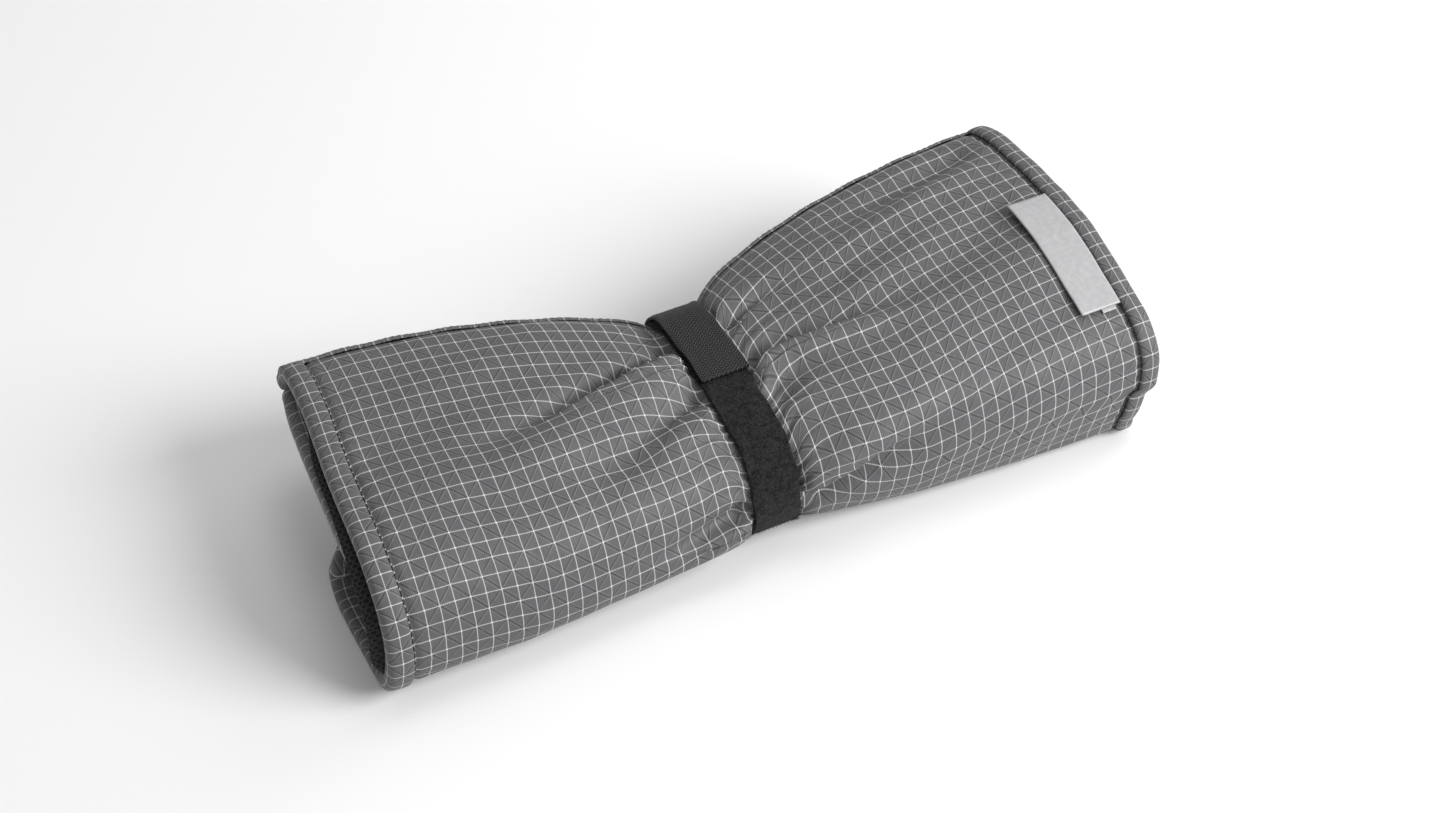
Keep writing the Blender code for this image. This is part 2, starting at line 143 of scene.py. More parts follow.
def smooth_open(points, cuts):
    """a Catmull-Rom curve through the points, each span cut the same number of times"""
    rows = np.array(points, dtype=float)
    curve = []
    for index in range(len(rows) - 1):
        before, start = rows[max(index - 1, 0)], rows[index]
        end, after = rows[index + 1], rows[min(index + 2, len(rows) - 1)]
        for step in range(cuts):
            t = step / cuts
            curve.append(0.5 * (2 * start + (end - before) * t
                                + (2 * before - 5 * start + 4 * end - after) * t ** 2
                                + (3 * start - before - 3 * end + after) * t ** 3))
    curve.append(rows[-1])
    return np.array(curve)


def ease(value):
    """0 below 0 and 1 above 1, with a smooth step between"""
    held = np.clip(value, 0.0, 1.0)
    return held * held * (3 - 2 * held)


def travel(line):
    """the distance along a line at each of its points"""
    steps = np.linalg.norm(np.diff(line, axis=0), axis=1)
    return np.concatenate(([0.0], np.cumsum(steps)))


def picked(at, travelled, rows):
    """the rows' values at one distance, or at several, along the line that they belong to"""
    return np.stack([np.interp(at, travelled, column) for column in rows.T], axis=-1)


def unit(vectors):
    return vectors / np.linalg.norm(vectors, axis=1)[:, None]


class Roll:
    """the cloth's outer face, in sections square to the roll"""

    def __init__(self):
        self.left = smooth_open(left_section(), SPAN_CUTS)
        self.right = smooth_open(right_section(), SPAN_CUTS)
        self.waist = smooth_open(waist_section(), SPAN_CUTS)
        for curve, floor in ((self.left, BASE), (self.right, BASE), (self.waist, WAIST["low"])):
            curve[:, 1] = np.maximum(curve[:, 1], floor)
        # the right binding steps back by depth where its lower layer shows, near the floor in
        # front, and comes forward again beyond length
        from_span, depth, sharp, length, fade = 6.3, 3.6, 1.4, 12.0, 14.0
        run = travel(self.right[:, :2])
        past = run - run[int(from_span * SPAN_CUTS)]
        self.right[:, 2] += depth * ease(past / sharp) * (1 - ease((past - length) / fade))
        self.length = max(travel(self.left[:, :2])[-1], run[-1])

    def section(self, share):
        """the section's (x, y, z) line at a signed share of the half length"""
        near = PLATEAU / HALF_LENGTH
        end = self.left if share < 0 else self.right
        reach = max(0.0, (abs(share) - near) / (1 - near))
        spread = math.sin(reach * math.pi / 2) ** SWELL[0 if share < 0 else 1]
        shape = self.waist + (end - self.waist) * spread
        if share < 0:
            # the left half bulges low in front, between the strap and the end
            bulge, middle_span, spans = 3.0, 7.2, 1.4
            place = (np.arange(len(shape)) / SPAN_CUTS - middle_span) / spans
            shape[:, 0] -= bulge * math.sin(reach * math.pi) * np.exp(-place ** 2)
        x = np.sign(share) * (abs(share) * HALF_LENGTH - reach * end[:, 2])
        return np.column_stack((x, shape[:, 0], shape[:, 1]))


def outward(line):
    """unit vectors away from the cloth at each point of a section"""
    along = np.gradient(line, axis=0)
    return unit(np.column_stack((np.zeros(len(line)), along[:, 2], -along[:, 1])))


# ---- the tucks that the strap gathers: each takes up cloth beside the strap and fades out ----
# side, (x, y) places of the fold's line from the strap outwards, cloth taken up at the strap,
# how far along the roll it lasts, and how far it leans over towards the hem, or below 0 away
# from it; front tucks are placed by (x, z) instead
TUCKS = [
    {"side": -1, "line": [(-8, 3.5), (-27, 1.5), (-47, -1.5), (-70, -5.5)], "take": 17.0,
     "fade": 78.0, "by": "y", "lean": 1.0},
    {"side": -1, "line": [(-8, -14.5), (-23, -19), (-40, -25)], "take": 4.5, "fade": 32.0,
     "by": "y", "lean": 0.35},
    {"side": -1, "line": [(-8, -29), (-20, -31)], "take": 4.0, "fade": 20.0, "by": "y",
     "lean": 0.6},
    {"side": -1, "line": [(-8, 18.5), (-23, 17.2), (-45, 16)], "take": 8.0, "fade": 42.0,
     "by": "z", "lean": -1.0},
    {"side": 1, "line": [(8, -12), (22, -9.5), (46, -11), (62, -12)], "take": 9.0,
     "fade": 62.0, "by": "y", "lean": 0.3},
    {"side": 1, "line": [(8, 8), (25, 12), (45, 18)], "take": 6.0, "fade": 46.0,
     "by": "y", "lean": 0.4},
    {"side": 1, "line": [(8, -27), (20, -29), (34, -33)], "take": 4.0, "fade": 30.0,
     "by": "y", "lean": 0.3},
    {"side": 1, "line": [(8, 31), (20, 31.5), (30, 32)], "take": 3.5, "fade": 24.0,
     "by": "z", "lean": 0.3},
    {"side": 1, "line": [(8, 22), (15, 23.5), (25, 27), (44, 33)], "take": 9.0, "fade": 46.0,
     "by": "z", "lean": -1.0},
]
# a fold in units of the cloth that it takes up: along the cloth, away from it
FOLD_SHAPE = np.array([(0, 0), (0.10, -0.05), (0.20, -0.07), (0.24, -0.01), (0.17, 0.10),
                       (0.14, 0.19), (0.20, 0.25), (0.29, 0.24), (0.38, 0.15), (0.47, 0.05),
                       (0.58, 0.0)])
FOLD_SPACE = FOLD_SHAPE[-1, 0]


def fold_take(tuck, x):
    """how much cloth the tuck takes up at x"""
    beyond = (abs(x) - STRAP_HALF) / tuck["fade"]
    if x * tuck["side"] < 0:
        # past the roll's middle a tuck ends under the strap
        beyond = (abs(x) + 4.0) / 10.0
    return tuck["take"] * float(1 - ease(beyond)) if beyond > 0 else tuck["take"]


def fold_place(tuck, x, line, travelled):
    """how far along the section the fold lies"""
    xs = [abs(p[0]) for p in tuck["line"]]
    level = np.interp(abs(x), xs, [p[1] for p in tuck["line"]])
    face, axis = (TOP_FACE, 1) if tuck["by"] == "y" else (FRONT_FACE, 2)
    return float(np.interp(-level, -line[face, axis], travelled[face]))


def cloth_to_space(folds, travelled, length):
    """matching distances along the cloth and along its section: folds take up cloth first, and
    what is still slack is drawn in low in front"""
    cloth, space = [0.0], [0.0]
    for place, take, _ in folds:
        width = FOLD_SPACE * take
        start = max(place - width / 2, space[-1] + 0.1)
        begin = cloth[-1] + (start - space[-1])
        cloth += [begin, begin + take + width]
        space += [start, start + width]
    slack_from = sum(travelled[[7 * SPAN_CUTS, 8 * SPAN_CUTS]]) / 2
    if slack_from > space[-1] + 1:
        cloth.append(cloth[-1] + slack_from - space[-1])
        space.append(slack_from)
    cloth.append(length)
    space.append(travelled[-1])
    return cloth, space


def fold_offsets(shares, take, lean):
    """how far a fold's points stand ahead along the cloth, and away from it"""
    shape, at = FOLD_SHAPE, travel(FOLD_SHAPE)
    at /= at[-1]
    if lean < 0:
        shape, at = (FOLD_SHAPE[-1] - FOLD_SHAPE)[::-1] * (1, -1), 1 - at[::-1]
    ahead, away = picked(shares, at, shape).T
    return (ahead - shares * FOLD_SPACE) * abs(lean) * take, away * take


def tucked_row(share, roll):
    """points at even steps of the cloth's own length, with the tucks standing in them"""
    line = roll.section(share)
    x = share * HALF_LENGTH
    travelled = travel(line[:, 1:])
    folds = []
    for tuck in TUCKS:
        take = fold_take(tuck, x)
        if take > 0.15:
            folds.append((fold_place(tuck, x, line, travelled), take, tuck["lean"]))
    folds.sort()
    count = int(round(roll.length / CLOTH_STEP)) + 1
    wanted = np.linspace(0.0, roll.length, count)
    cloth, space = cloth_to_space(folds, travelled, roll.length)
    at = np.interp(wanted, cloth, space)
    points = picked(at, travelled, line)
    facing = unit(picked(at, travelled, outward(line)))
    ahead = np.column_stack((np.zeros(count), -facing[:, 2], facing[:, 1]))
    # the strap presses the folds flat
    pressed = float(ease((abs(x) - STRAP_HALF + 0.5) / 5.0))
    for index, (_, take, lean) in enumerate(folds):
        begin, end = cloth[1 + 2 * index], cloth[2 + 2 * index]
        inside = (wanted > begin) & (wanted < end)
        shift, rise = fold_offsets((wanted[inside] - begin) / (end - begin), take, lean)
        points[inside] += (ahead[inside] * (shift * pressed)[:, None]
                           + facing[inside] * (rise * pressed)[:, None])
    return points, wanted


def plain_row(share, roll, count):
    """a section without tucks, at even steps of its own length, and its outward vectors"""
    line = roll.section(share)
    travelled = travel(line[:, 1:])
    at = np.linspace(0, travelled[-1], count)
    return picked(at, travelled, line), unit(picked(at, travelled, outward(line)))


def grid_faces(rows, columns, closed=False, offset=0):
    """quads over a grid of points kept row by row"""
    across = columns if closed else columns - 1
    first = np.arange(rows - 1)[:, None] * columns
    here = np.arange(across)[None, :]
    after = (here + 1) % columns
    quads = np.stack((first + here, first + after, first + columns + after,
                      first + columns + here), axis=-1)
    return quads.reshape(-1, 4) + offset


def add_mesh(name, points, faces, look, uv=None, smooth=True):
    """a mesh object from points in millimetres, none of them below the floor; uv is one pair
    for each point"""
    mesh = bpy.data.meshes.new(name)
    points = np.array(points, dtype=float)
    points[:, 2] = np.maximum(points[:, 2], 0.0)
    mesh.from_pydata((points * MM).tolist(), [], faces)
    if uv is not None:
        layer = mesh.uv_layers.new(name="cloth")
        loops = np.zeros(len(mesh.loops), dtype=np.int64)
        mesh.loops.foreach_get("vertex_index", loops)
        layer.data.foreach_set("uv", np.asarray(uv, dtype=np.float32)[loops].ravel())
    if smooth:
        mesh.shade_smooth()
    mesh.materials.append(look)
    made = bpy.data.objects.new(name, mesh)
    bpy.context.scene.collection.objects.link(made)
    return made


def grid_normals(grid):
    """unit vectors square to a (rows, columns, 3) grid, away from the roll"""
    along = np.gradient(grid, axis=0)
    across = np.gradient(grid, axis=1)
    square = np.cross(across, along)
    return square / np.maximum(np.linalg.norm(square, axis=2, keepdims=True), 1e-9)


def shell(name, outer, inner, look, uv):
    """a closed thin sheet between two matching grids"""
    rows, columns = outer.shape[:2]
    count = rows * columns
    points = np.concatenate((outer.reshape(-1, 3), inner.reshape(-1, 3)))
    top = grid_faces(rows, columns)
    under = top[:, ::-1] + count
    rim = np.concatenate((np.arange(columns), np.arange(1, rows) * columns + columns - 1,
                          (rows - 1) * columns + np.arange(columns - 2, -1, -1),
                          np.arange(rows - 2, 0, -1) * columns))
    ahead = np.roll(rim, -1)
    edge = np.stack((ahead, rim, rim + count, ahead + count), axis=-1)
    faces = np.concatenate((top, under, edge)).tolist()
    flat = uv.reshape(-1, 2)
    return add_mesh(name, points, faces, look, np.concatenate((flat, flat)))


# ---- looks ----

class Graph:
    """a material's node tree, built one maths step at a time"""

    def __init__(self, name):
        self.material = bpy.data.materials.new(name)
        self.material.use_nodes = True
        self.tree = self.material.node_tree
        self.shader = self.tree.nodes["Principled BSDF"]

    def node(self, kind, **settings):
        made = self.tree.nodes.new(kind)
        for key, value in settings.items():
            setattr(made, key, value)
        return made

    def plug(self, socket, value):
        if isinstance(value, bpy.types.NodeSocket):
            self.tree.links.new(value, socket)
        else:
            socket.default_value = value

    def math(self, operation, first, second=0.0, third=0.0):
        made = self.node("ShaderNodeMath", operation=operation)
        for socket, value in zip(made.inputs, (first, second, third)):
            self.plug(socket, value)
        return made.outputs[0]

    def smooth(self, value, low, high):
        made = self.node("ShaderNodeMapRange", interpolation_type="SMOOTHSTEP")
        for socket, item in zip(made.inputs, (value, low, high)):
            self.plug(socket, item)
        return made.outputs[0]

    def mix(self, share, first, second):
        made = self.node("ShaderNodeMix", data_type="RGBA")
        self.plug(made.inputs[0], share)
        self.plug(made.inputs[6], first)
        self.plug(made.inputs[7], second)
        return made.outputs[2]

    def noise(self, vector, scale, detail=3.0, rough=0.55):
        made = self.node("ShaderNodeTexNoise")
        self.plug(made.inputs["Vector"], vector)
        self.plug(made.inputs["Scale"], scale)
        self.plug(made.inputs["Detail"], detail)
        self.plug(made.inputs["Roughness"], rough)
        return made.outputs["Fac"]

    def uv(self):
        """the cloth's own coordinates in millimetres: both, along the roll, round it"""
        made = self.node("ShaderNodeUVMap", uv_map="cloth")
        split = self.node("ShaderNodeSeparateXYZ")
        self.tree.links.new(made.outputs[0], split.inputs[0])
        return made.outputs[0], split.outputs[0], split.outputs[1]

    def place(self):
        """the object's own coordinates, in metres"""
        return self.node("ShaderNodeTexCoord").outputs["Object"]

    def bump(self, height, strength, distance, under=None):
        made = self.node("ShaderNodeBump")
        self.plug(made.inputs["Strength"], strength)
        self.plug(made.inputs["Distance"], distance)
        self.plug(made.inputs["Height"], height)
        if under is not None:
            self.plug(made.inputs["Normal"], under)
        return made.outputs[0]

    def line(self, coordinate, period, width, soft):
        """1 on lines at each whole period, 0 between them"""
        share = self.math("PINGPONG", coordinate, period / 2)
        return self.math("SUBTRACT", 1.0, self.smooth(share, width / 2 - soft, width / 2 + soft))

    def finish(self, colour, roughness, normal=None, **others):
        self.plug(self.shader.inputs["Base Color"], colour)
        self.plug(self.shader.inputs["Roughness"], roughness)
        if normal is not None:
            self.plug(self.shader.inputs["Normal"], normal)
        for key, value in others.items():
            self.plug(self.shader.inputs[key.replace("_", " ")], value)
        return self.material


def grey(value, tint=1.0):
    """a grey, with its blue raised by the tint"""
    return (value, value, value * tint, 1.0)


def ripstop_look():
    """grey ripstop: a white 5 mm grid, dotted along the roll, and faint slants of painted light
    and shade
    """
    g = Graph("ripstop_cloth")
    vector, u, v = g.uv()
    wobble = g.math("MULTIPLY", g.math("SUBTRACT", g.noise(vector, 0.09, 2.0), 0.5), 0.5)
    u_line = g.math("ADD", u, wobble)
    v_line = g.math("ADD", v, wobble)
    around = g.line(u_line, GRID, 0.25, 0.13)
    around = g.math("MULTIPLY", around, 0.72)
    along = g.line(v_line, GRID, 0.25, 0.13)
    dots = g.smooth(g.math("PINGPONG", u, 0.3), 0.06, 0.2)
    along = g.math("MULTIPLY", along, g.math("ADD", 0.3, g.math("MULTIPLY", dots, 0.62)))
    crossing = g.math("MULTIPLY", g.line(u_line, GRID, 0.6, 0.2), g.line(v_line, GRID, 0.6, 0.2))
    lines = g.math("MAXIMUM", around, along)
    lines = g.math("MINIMUM", g.math("ADD", lines, g.math("MULTIPLY", crossing, 0.35)), 1.0)
    patchy = g.noise(vector, 0.55, 3.0)
    lines = g.math("MULTIPLY", lines, g.math("ADD", 0.62, g.math("MULTIPLY", patchy, 0.5)))
    # slanting strokes: single ones one way and double ones the other, through the crossings
    rising = g.math("SUBTRACT", g.math("ADD", u, v), GRID)
    falling = g.math("SUBTRACT", g.math("SUBTRACT", u, v), GRID)
    # the lighter strokes are painted highlight: light caught by raised fibres
    light = g.line(rising, 2 * GRID, 0.42, 0.2)
    # the darker strokes are painted shadow beside and between the raised fibres
    stroke_shadow = g.line(g.math("ADD", rising, 0.62), 2 * GRID, 0.5, 0.22)
    for offset in (-0.75, 0.75):
        stroke = g.line(g.math("ADD", falling, offset), 2 * GRID, 0.34, 0.2)
        light = g.math("MAXIMUM", light, g.math("MULTIPLY", stroke, 0.75))
    stroke_shadow = g.math("MAXIMUM", stroke_shadow, g.line(falling, 2 * GRID, 0.6, 0.3))
    crisp = g.smooth(g.noise(vector, 0.35, 2.0), 0.22, 0.55)
    light = g.math("MULTIPLY", light, crisp)
    stroke_shadow = g.math("MULTIPLY", stroke_shadow, crisp)
    weave = g.noise(vector, 2.4, 2.0)
    broad = g.noise(g.place(), 14.0, 3.0)
    base = g.mix(broad, grey(0.078, 1.04), grey(0.102, 1.04))
    # the strokes' painted highlight and painted shadow go into the base colour
    base = g.mix(g.math("MULTIPLY", light, 0.75), base, grey(0.175, 1.03))
    base = g.mix(g.math("MULTIPLY", stroke_shadow, 0.9), base, grey(0.034, 1.05))
    base = g.mix(g.math("MULTIPLY", weave, 0.14), base, grey(0.15, 1.03))
    colour = g.mix(lines, base, grey(0.70, 1.0))
    puckers = g.noise(vector, 0.16, 4.0, 0.6)
    relief = g.math("ADD", g.math("MULTIPLY", weave, 0.25), g.math("MULTIPLY", lines, 0.8))
    relief = g.math("SUBTRACT", relief, g.math("MULTIPLY", stroke_shadow, 0.35))
    normal = g.bump(puckers, 0.30, 0.0016)
    normal = g.bump(relief, 0.45, 0.00022, normal)
    rough = g.math("ADD", 0.50, g.math("MULTIPLY", weave, 0.12))
    return g.finish(colour, rough, normal, Sheen_Weight=0.05, Sheen_Roughness=0.5,
                    Specular_IOR_Level=0.35)


def mesh_look():
    """black knitted mesh, with round holes in a honeycomb two millimetres apart"""
    g = Graph("hex_mesh")
    vector, u, v = g.uv()
    half_wide, half_high = 1.0, 1.73
    cells = []
    for shift_u, shift_v in ((0.0, 0.0), (half_wide, half_high)):
        across = g.math("PINGPONG", g.math("ADD", u, shift_u), half_wide)
        up = g.math("PINGPONG", g.math("ADD", v, shift_v), half_high)
        near = g.math("SQRT", g.math("ADD", g.math("MULTIPLY", across, across),
                                     g.math("MULTIPLY", up, up)))
        cells.append(g.math("SUBTRACT", 1.0, g.smooth(near, 0.52, 0.72)))
    hole = g.math("MAXIMUM", cells[0], cells[1])
    strands = g.noise(vector, 3.0, 2.0)
    knit = g.mix(strands, grey(0.012), grey(0.045))
    # the holes are painted near black, darker than the knit: painted shade of the hollow under
    # the mesh
    colour = g.mix(hole, knit, grey(0.003))
    relief = g.math("SUBTRACT", g.math("MULTIPLY", strands, 0.3), hole)
    normal = g.bump(relief, 1.0, 0.0006)
    return g.finish(colour, 0.6, normal, Specular_IOR_Level=0.3)


def pile_look():
    """black loop pile: matt, uneven, with a soft bloom"""
    g = Graph("loop_pile")
    place = g.place()
    loops = g.noise(place, 1300.0, 3.0, 0.7)
    clumps = g.noise(place, 420.0, 3.0, 0.6)
    both = g.math("ADD", g.math("MULTIPLY", loops, 0.6), g.math("MULTIPLY", clumps, 0.4))
    colour = g.mix(g.smooth(both, 0.36, 0.64), grey(0.004, 1.04), grey(0.026, 1.06))
    normal = g.bump(both, 1.0, 0.0010)
    return g.finish(colour, 0.95, normal, Sheen_Weight=0.04, Sheen_Roughness=0.6,
                    Specular_IOR_Level=0.12)


def webbing_look():
    """black woven tape with slanting rows of small raised picks, each with a painted highlight"""
    g = Graph("hook_webbing")
    vector, u, v = g.uv()
    band = g.math("PINGPONG", u, 1.6)
    slant = g.math("ADD", v, band)
    row = g.line(slant, 1.2, 0.55, 0.2)
    pick = g.smooth(g.math("PINGPONG", u, 0.27), 0.05, 0.2)
    dots = g.math("MULTIPLY", row, pick)
    grain = g.noise(vector, 3.0, 2.0)
    # the picks are painted far lighter than the tape: painted highlight on their raised tops
    colour = g.mix(dots, grey(0.007, 1.05), grey(0.105, 1.05))
    colour = g.mix(g.math("MULTIPLY", grain, 0.3), colour, grey(0.03))
    relief = g.math("ADD", dots, g.math("MULTIPLY", grain, 0.4))
    normal = g.bump(relief, 0.8, 0.0004)
    return g.finish(colour, 0.6, normal, Specular_IOR_Level=0.22)


def satin_look(name, low, high, striped):
    """a woven satin label, plain, or with one dyed line along its end"""
    g = Graph(name)
    vector, _, v = g.uv()
    threads = g.math("PINGPONG", v, 0.2)
    soft = g.noise(vector, 0.5, 3.0)
    fine = g.math("ADD", g.math("MULTIPLY", threads, 1.2), g.math("MULTIPLY", soft, 0.7))
    colour = g.mix(fine, grey(low, 1.02), grey(high, 1.02))
    if striped:
        stripe = g.line(g.math("SUBTRACT", v, 0.9), 40.0, 0.8, 0.05)
        colour = g.mix(stripe, colour, (0.45, 0.03, 0.03, 1.0))
    normal = g.bump(fine, 0.35, 0.0002)
    return g.finish(colour, 0.36, normal, Anisotropic=0.5, Sheen_Weight=0.1)


def thread_look():
    """black twisted sewing thread"""
    g = Graph("sewing_thread")
    ply = g.noise(g.place(), 2500.0, 2.0)
    colour = g.mix(ply, grey(0.012), grey(0.06))
    return g.finish(colour, 0.55, g.bump(ply, 0.6, 0.0001))


# ---- the cloth ----

def skin_grid(roll):
    """the outer face as (stations along X, points along the cloth), its cloth coordinates"""
    stations = int(round(2 * (HALF_LENGTH - SKIN_STOP) / CLOTH_STEP)) + 1
    reach = 1 - SKIN_STOP / HALF_LENGTH
    rows, coordinates = [], []
    for share in np.linspace(-reach, reach, stations):
        points, along = tucked_row(share, roll)
        rows.append(points)
        coordinates.append(np.column_stack((np.full(len(along), share * HALF_LENGTH), along)))
    return np.array(rows), np.array(coordinates)


def relaxed(grid, rounds, strength):
    """each inner point moved part of the way to the middle of its four neighbours"""
    made = grid.copy()
    for _ in range(rounds):
        middle = (made[:-2, 1:-1] + made[2:, 1:-1] + made[1:-1, :-2] + made[1:-1, 2:]) / 4
        made[1:-1, 1:-1] += strength * (middle - made[1:-1, 1:-1])
    return made


# soft dents and swellings of the outer face: place in (x, y), its two half widths, turn, height
DENTS = [
    (-42, -27, 18, 7, -18, -2.8), (-62, -16, 24, 7, -8, 1.6), (-98, -10, 22, 9, -6, 1.1),
    (-88, 12, 20, 7, 10, -1.2), (-72, -30, 20, 6, -10, -1.4),
    (-30, 12, 18, 6, 12, 1.2), (-60, 28, 26, 9, 14, 0.8), (-20, -8, 12, 5, -8, 1.3),
    (30, -20, 20, 5, 6, 1.3), (34, -3, 24, 5, -2, -1.2), (52, 8, 26, 7, 8, -1.3),
    (40, 20, 22, 6, 20, 1.0), (88, -2, 26, 8, 12, -2.2), (84, 25, 34, 5, 12, 2.2),
    (96, 38, 30, 5, 10, -3.4), (66, -26, 26, 8, -6, 1.4), (100, -20, 22, 9, 4, 1.0),
    (60, 3, 18, 5, 14, 1.2), (104, 10, 14, 6, 20, -1.0),
    (22, 6, 12, 3, 15, -0.8), (20, -30, 12, 3, -10, 0.9),
]


# broad folds: the coordinate that they are placed by, their line, then for each valley and
# ridge how far it lies across the line, its half width and its height at the strap, and last
# how far along the roll they reach
CREASES = [
    ("y", [(-8, 4), (-27, 2), (-47, -1.5), (-66, -6), (-80, -8)],
     ((3.6, 3.3, -8.5), (11.0, 9.0, -2.8), (-4.5, 6.5, 4.2)), 96),
    ("y", [(-8, -15), (-23, -19.5), (-33, -24), (-50, -31)],
     ((2.0, 4.2, -3.6), (6.0, 5.0, -0.8), (-6.0, 6.0, 2.0)), 62),
    ("z", [(-8, 20), (-23, 18.5), (-40, 17)], ((2.5, 2.8, -5.0), (-4.5, 4.5, 4.0)), 56),
    ("y", [(8, -13), (22, -10.5), (46, -12), (62, -14)],
     ((5.0, 3.4, -5.4), (-1.0, 4.0, 4.0), (-9.0, 5.0, -3.4)), 90),
    ("y", [(8, 9), (25, 14), (50, 19)], ((0.0, 3.5, -3.4), (6.0, 5.0, 2.0)), 62),
    ("z", [(8, 22), (15, 23.5), (25, 27), (44, 33), (60, 38)],
     ((-3.6, 3.2, -5.6), (4.5, 5.0, 3.6)), 84),
]


def upper_face(grid):
    """1 on the roll's upper half, fading to 0 below it"""
    return ease((grid[..., 2] - 22) / 8)


def creased(grid, normals):
    """the outer face with its broad folds, deepest beside the strap"""
    x = grid[..., 0]
    upper = upper_face(grid)
    frontal = ease((-grid[..., 1] - 18) / 8)
    height = np.zeros(x.shape)
    for by, line, bands, reach in CREASES:
        side = np.sign(line[0][0])
        xs = [abs(place) for place, _ in line]
        level = np.interp(np.abs(x), xs, [place for _, place in line])
        off = (grid[..., 1] if by == "y" else grid[..., 2]) - level
        facing = np.clip(normals[..., 2] if by == "y" else -normals[..., 1], 0, 1) ** 0.5
        facing = facing * (upper if by == "y" else frontal)
        fade = (1 - ease((np.abs(x) - STRAP_HALF) / reach)) ** 1.3
        rising = ease((np.abs(x) - STRAP_HALF + 1) / 6) * (x * side > 0)
        for across, wide, rise in bands:
            opened = 1 + 0.6 * np.clip((np.abs(x) - STRAP_HALF) / reach, 0, 1)
            band = np.exp(-((off - across) / (wide * opened)) ** 2)
            height += rise * fade * rising * facing * band
    return grid + normals * height[..., None]


def dented(grid, normals):
    """the outer face with its dents, only where it faces up"""
    x, y = grid[..., 0], grid[..., 1]
    height = np.zeros(x.shape)
    for place_x, place_y, wide, deep, turn, rise in DENTS:
        angle = math.radians(turn)
        along = (x - place_x) * math.cos(angle) + (y - place_y) * math.sin(angle)
        across = (y - place_y) * math.cos(angle) - (x - place_x) * math.sin(angle)
        height += rise * np.exp(-(along / wide) ** 2 - (across / deep) ** 2)
    facing = np.clip(normals[..., 2], 0, 1)
    calm_ends = 1 - ease((np.abs(x) - (HALF_LENGTH - 22)) / 12)
    beyond = ease((np.abs(x) - STRAP_HALF) / 5)
    height = height * upper_face(grid) * facing * calm_ends * beyond
    return grid + normals * height[..., None]


def wrinkled(grid, normals, coordinates):
    """fine puckers from a fixed sum of waves, strongest beside the strap and the seams"""
    x, s = coordinates[..., 0], coordinates[..., 1]
    near_strap = np.exp(-np.maximum(np.abs(x) - STRAP_HALF, 0) / 11.0)
    seam = HALF_LENGTH - GROOVE_GAP - np.where(x < 0, *TAPE_WIDTH)
    near_seam = np.exp(-((np.abs(x) - seam + 2.5) / 4.0) ** 2)
    broad = (np.sin(0.11 * x + 0.23 * s + 1.3) * np.sin(0.17 * s - 0.07 * x)
             + 0.6 * np.sin(0.31 * x - 0.13 * s + 2.1) * np.sin(0.29 * s + 0.5))
    pleats = (np.sin(1.05 * s + 0.9 * np.sin(0.23 * s)) + 0.5 * np.sin(1.9 * s + 1.0)) * 0.42
    ticks = np.sin(2 * math.pi * s / 5.2 + 0.7 * np.sin(0.4 * s)) * 0.28
    under = np.abs(x) < STRAP_HALF
    groove = -0.75 * np.exp(-((np.abs(x) - seam) / 1.1) ** 2)
    height = 0.16 * broad + near_strap * pleats * ~under + near_seam * ticks + groove
    return grid + normals * height[..., None]


def build_skin(roll, look):
    """the outer cloth, and its outer face with its cloth coordinates"""
    grid, coordinates = skin_grid(roll)
    grid = relaxed(grid, rounds=6, strength=0.5)
    grid = creased(grid, grid_normals(grid))
    grid = dented(grid, grid_normals(grid))
    grid = wrinkled(grid, grid_normals(grid), coordinates)
    inner = grid - SKIN * grid_normals(grid)
    return shell("ripstop_cloth", grid, inner, look, coordinates), grid, coordinates


def build_lining(roll, coordinates, look):
    """the mesh under the skin, at half its density, hanging out a little at the left mouth"""
    stations, count = coordinates[::2, 0, 0], coordinates.shape[1] // 2
    rows, facing = zip(*(plain_row(x / HALF_LENGTH, roll, count) for x in stations))
    x, s = np.meshgrid(stations, np.linspace(0, roll.length, count), indexing="ij")
    facing = np.array(facing)
    rows = dented(creased(np.array(rows), facing), facing)
    steps = np.linalg.norm(np.diff(rows[..., 1:], axis=1), axis=2)
    path = np.concatenate((np.zeros((len(rows), 1)), np.cumsum(steps, axis=1)), axis=1)
    # it hangs loose from the top's middle down the front wall, and elsewhere the bindings hold it
    wall = ease((path - 20) / 30) * (1 - ease((path - 124) / 14))
    sag = np.exp(-((x + HALF_LENGTH - 2) / 6.0) ** 2) * wall
    taped = ease((np.abs(x) - (HALF_LENGTH - 2.0 - TAPE_WIDTH[0])) / 1.5)
    loose = wall * (x < 0)
    level = LINING_DEPTH - 0.85 * taped * (1 - loose)
    level = level + (0.6 + 1.6 * ease((path - 88) / 30)) * sag
    inner = rows - level[..., None] * facing
    inner[..., 0] -= (3.4 + 1.6 * ease((path - 60) / 35)) * sag
    slack = 0.25 * np.sin(0.9 * s) * np.sin(0.35 * x)
    inner = inner - slack[..., None] * facing
    return shell("mesh_lining_cloth", inner + LINING * facing, inner, look,
                 np.stack((x, s), axis=-1))


# a tape's section: distance in from the cloth's edge, height above the cloth's outer face
TAPE_PROFILE = np.array([(7.0, 0.15), (6.75, 0.62), (5.6, 0.92), (3.6, 1.0), (1.5, 0.86),
                         (0.35, 0.35), (-0.05, -0.8), (-0.1, -1.7), (-0.02, -2.8),
                         (0.4, -3.7), (1.6, -4.15), (3.6, -4.3), (5.8, -4.2), (6.8, -3.9),
                         (7.0, -3.4)])
TAPE_STITCH = 2.6  # from one pucker of a tape to the next
TAPE_GRID_SHIFT = 1.2  # places the ripstop's lines across a tape


def tape_profile():
    """the tape's section, finely cut, with the distance round it"""
    dense = smooth_open(TAPE_PROFILE, 2)
    return dense, travel(dense)


def tape_lift(level, pucker):
    """a tape's height above the cloth: its under side follows the puckers less"""
    return level + (pucker if level > 0 else -0.4 * pucker)


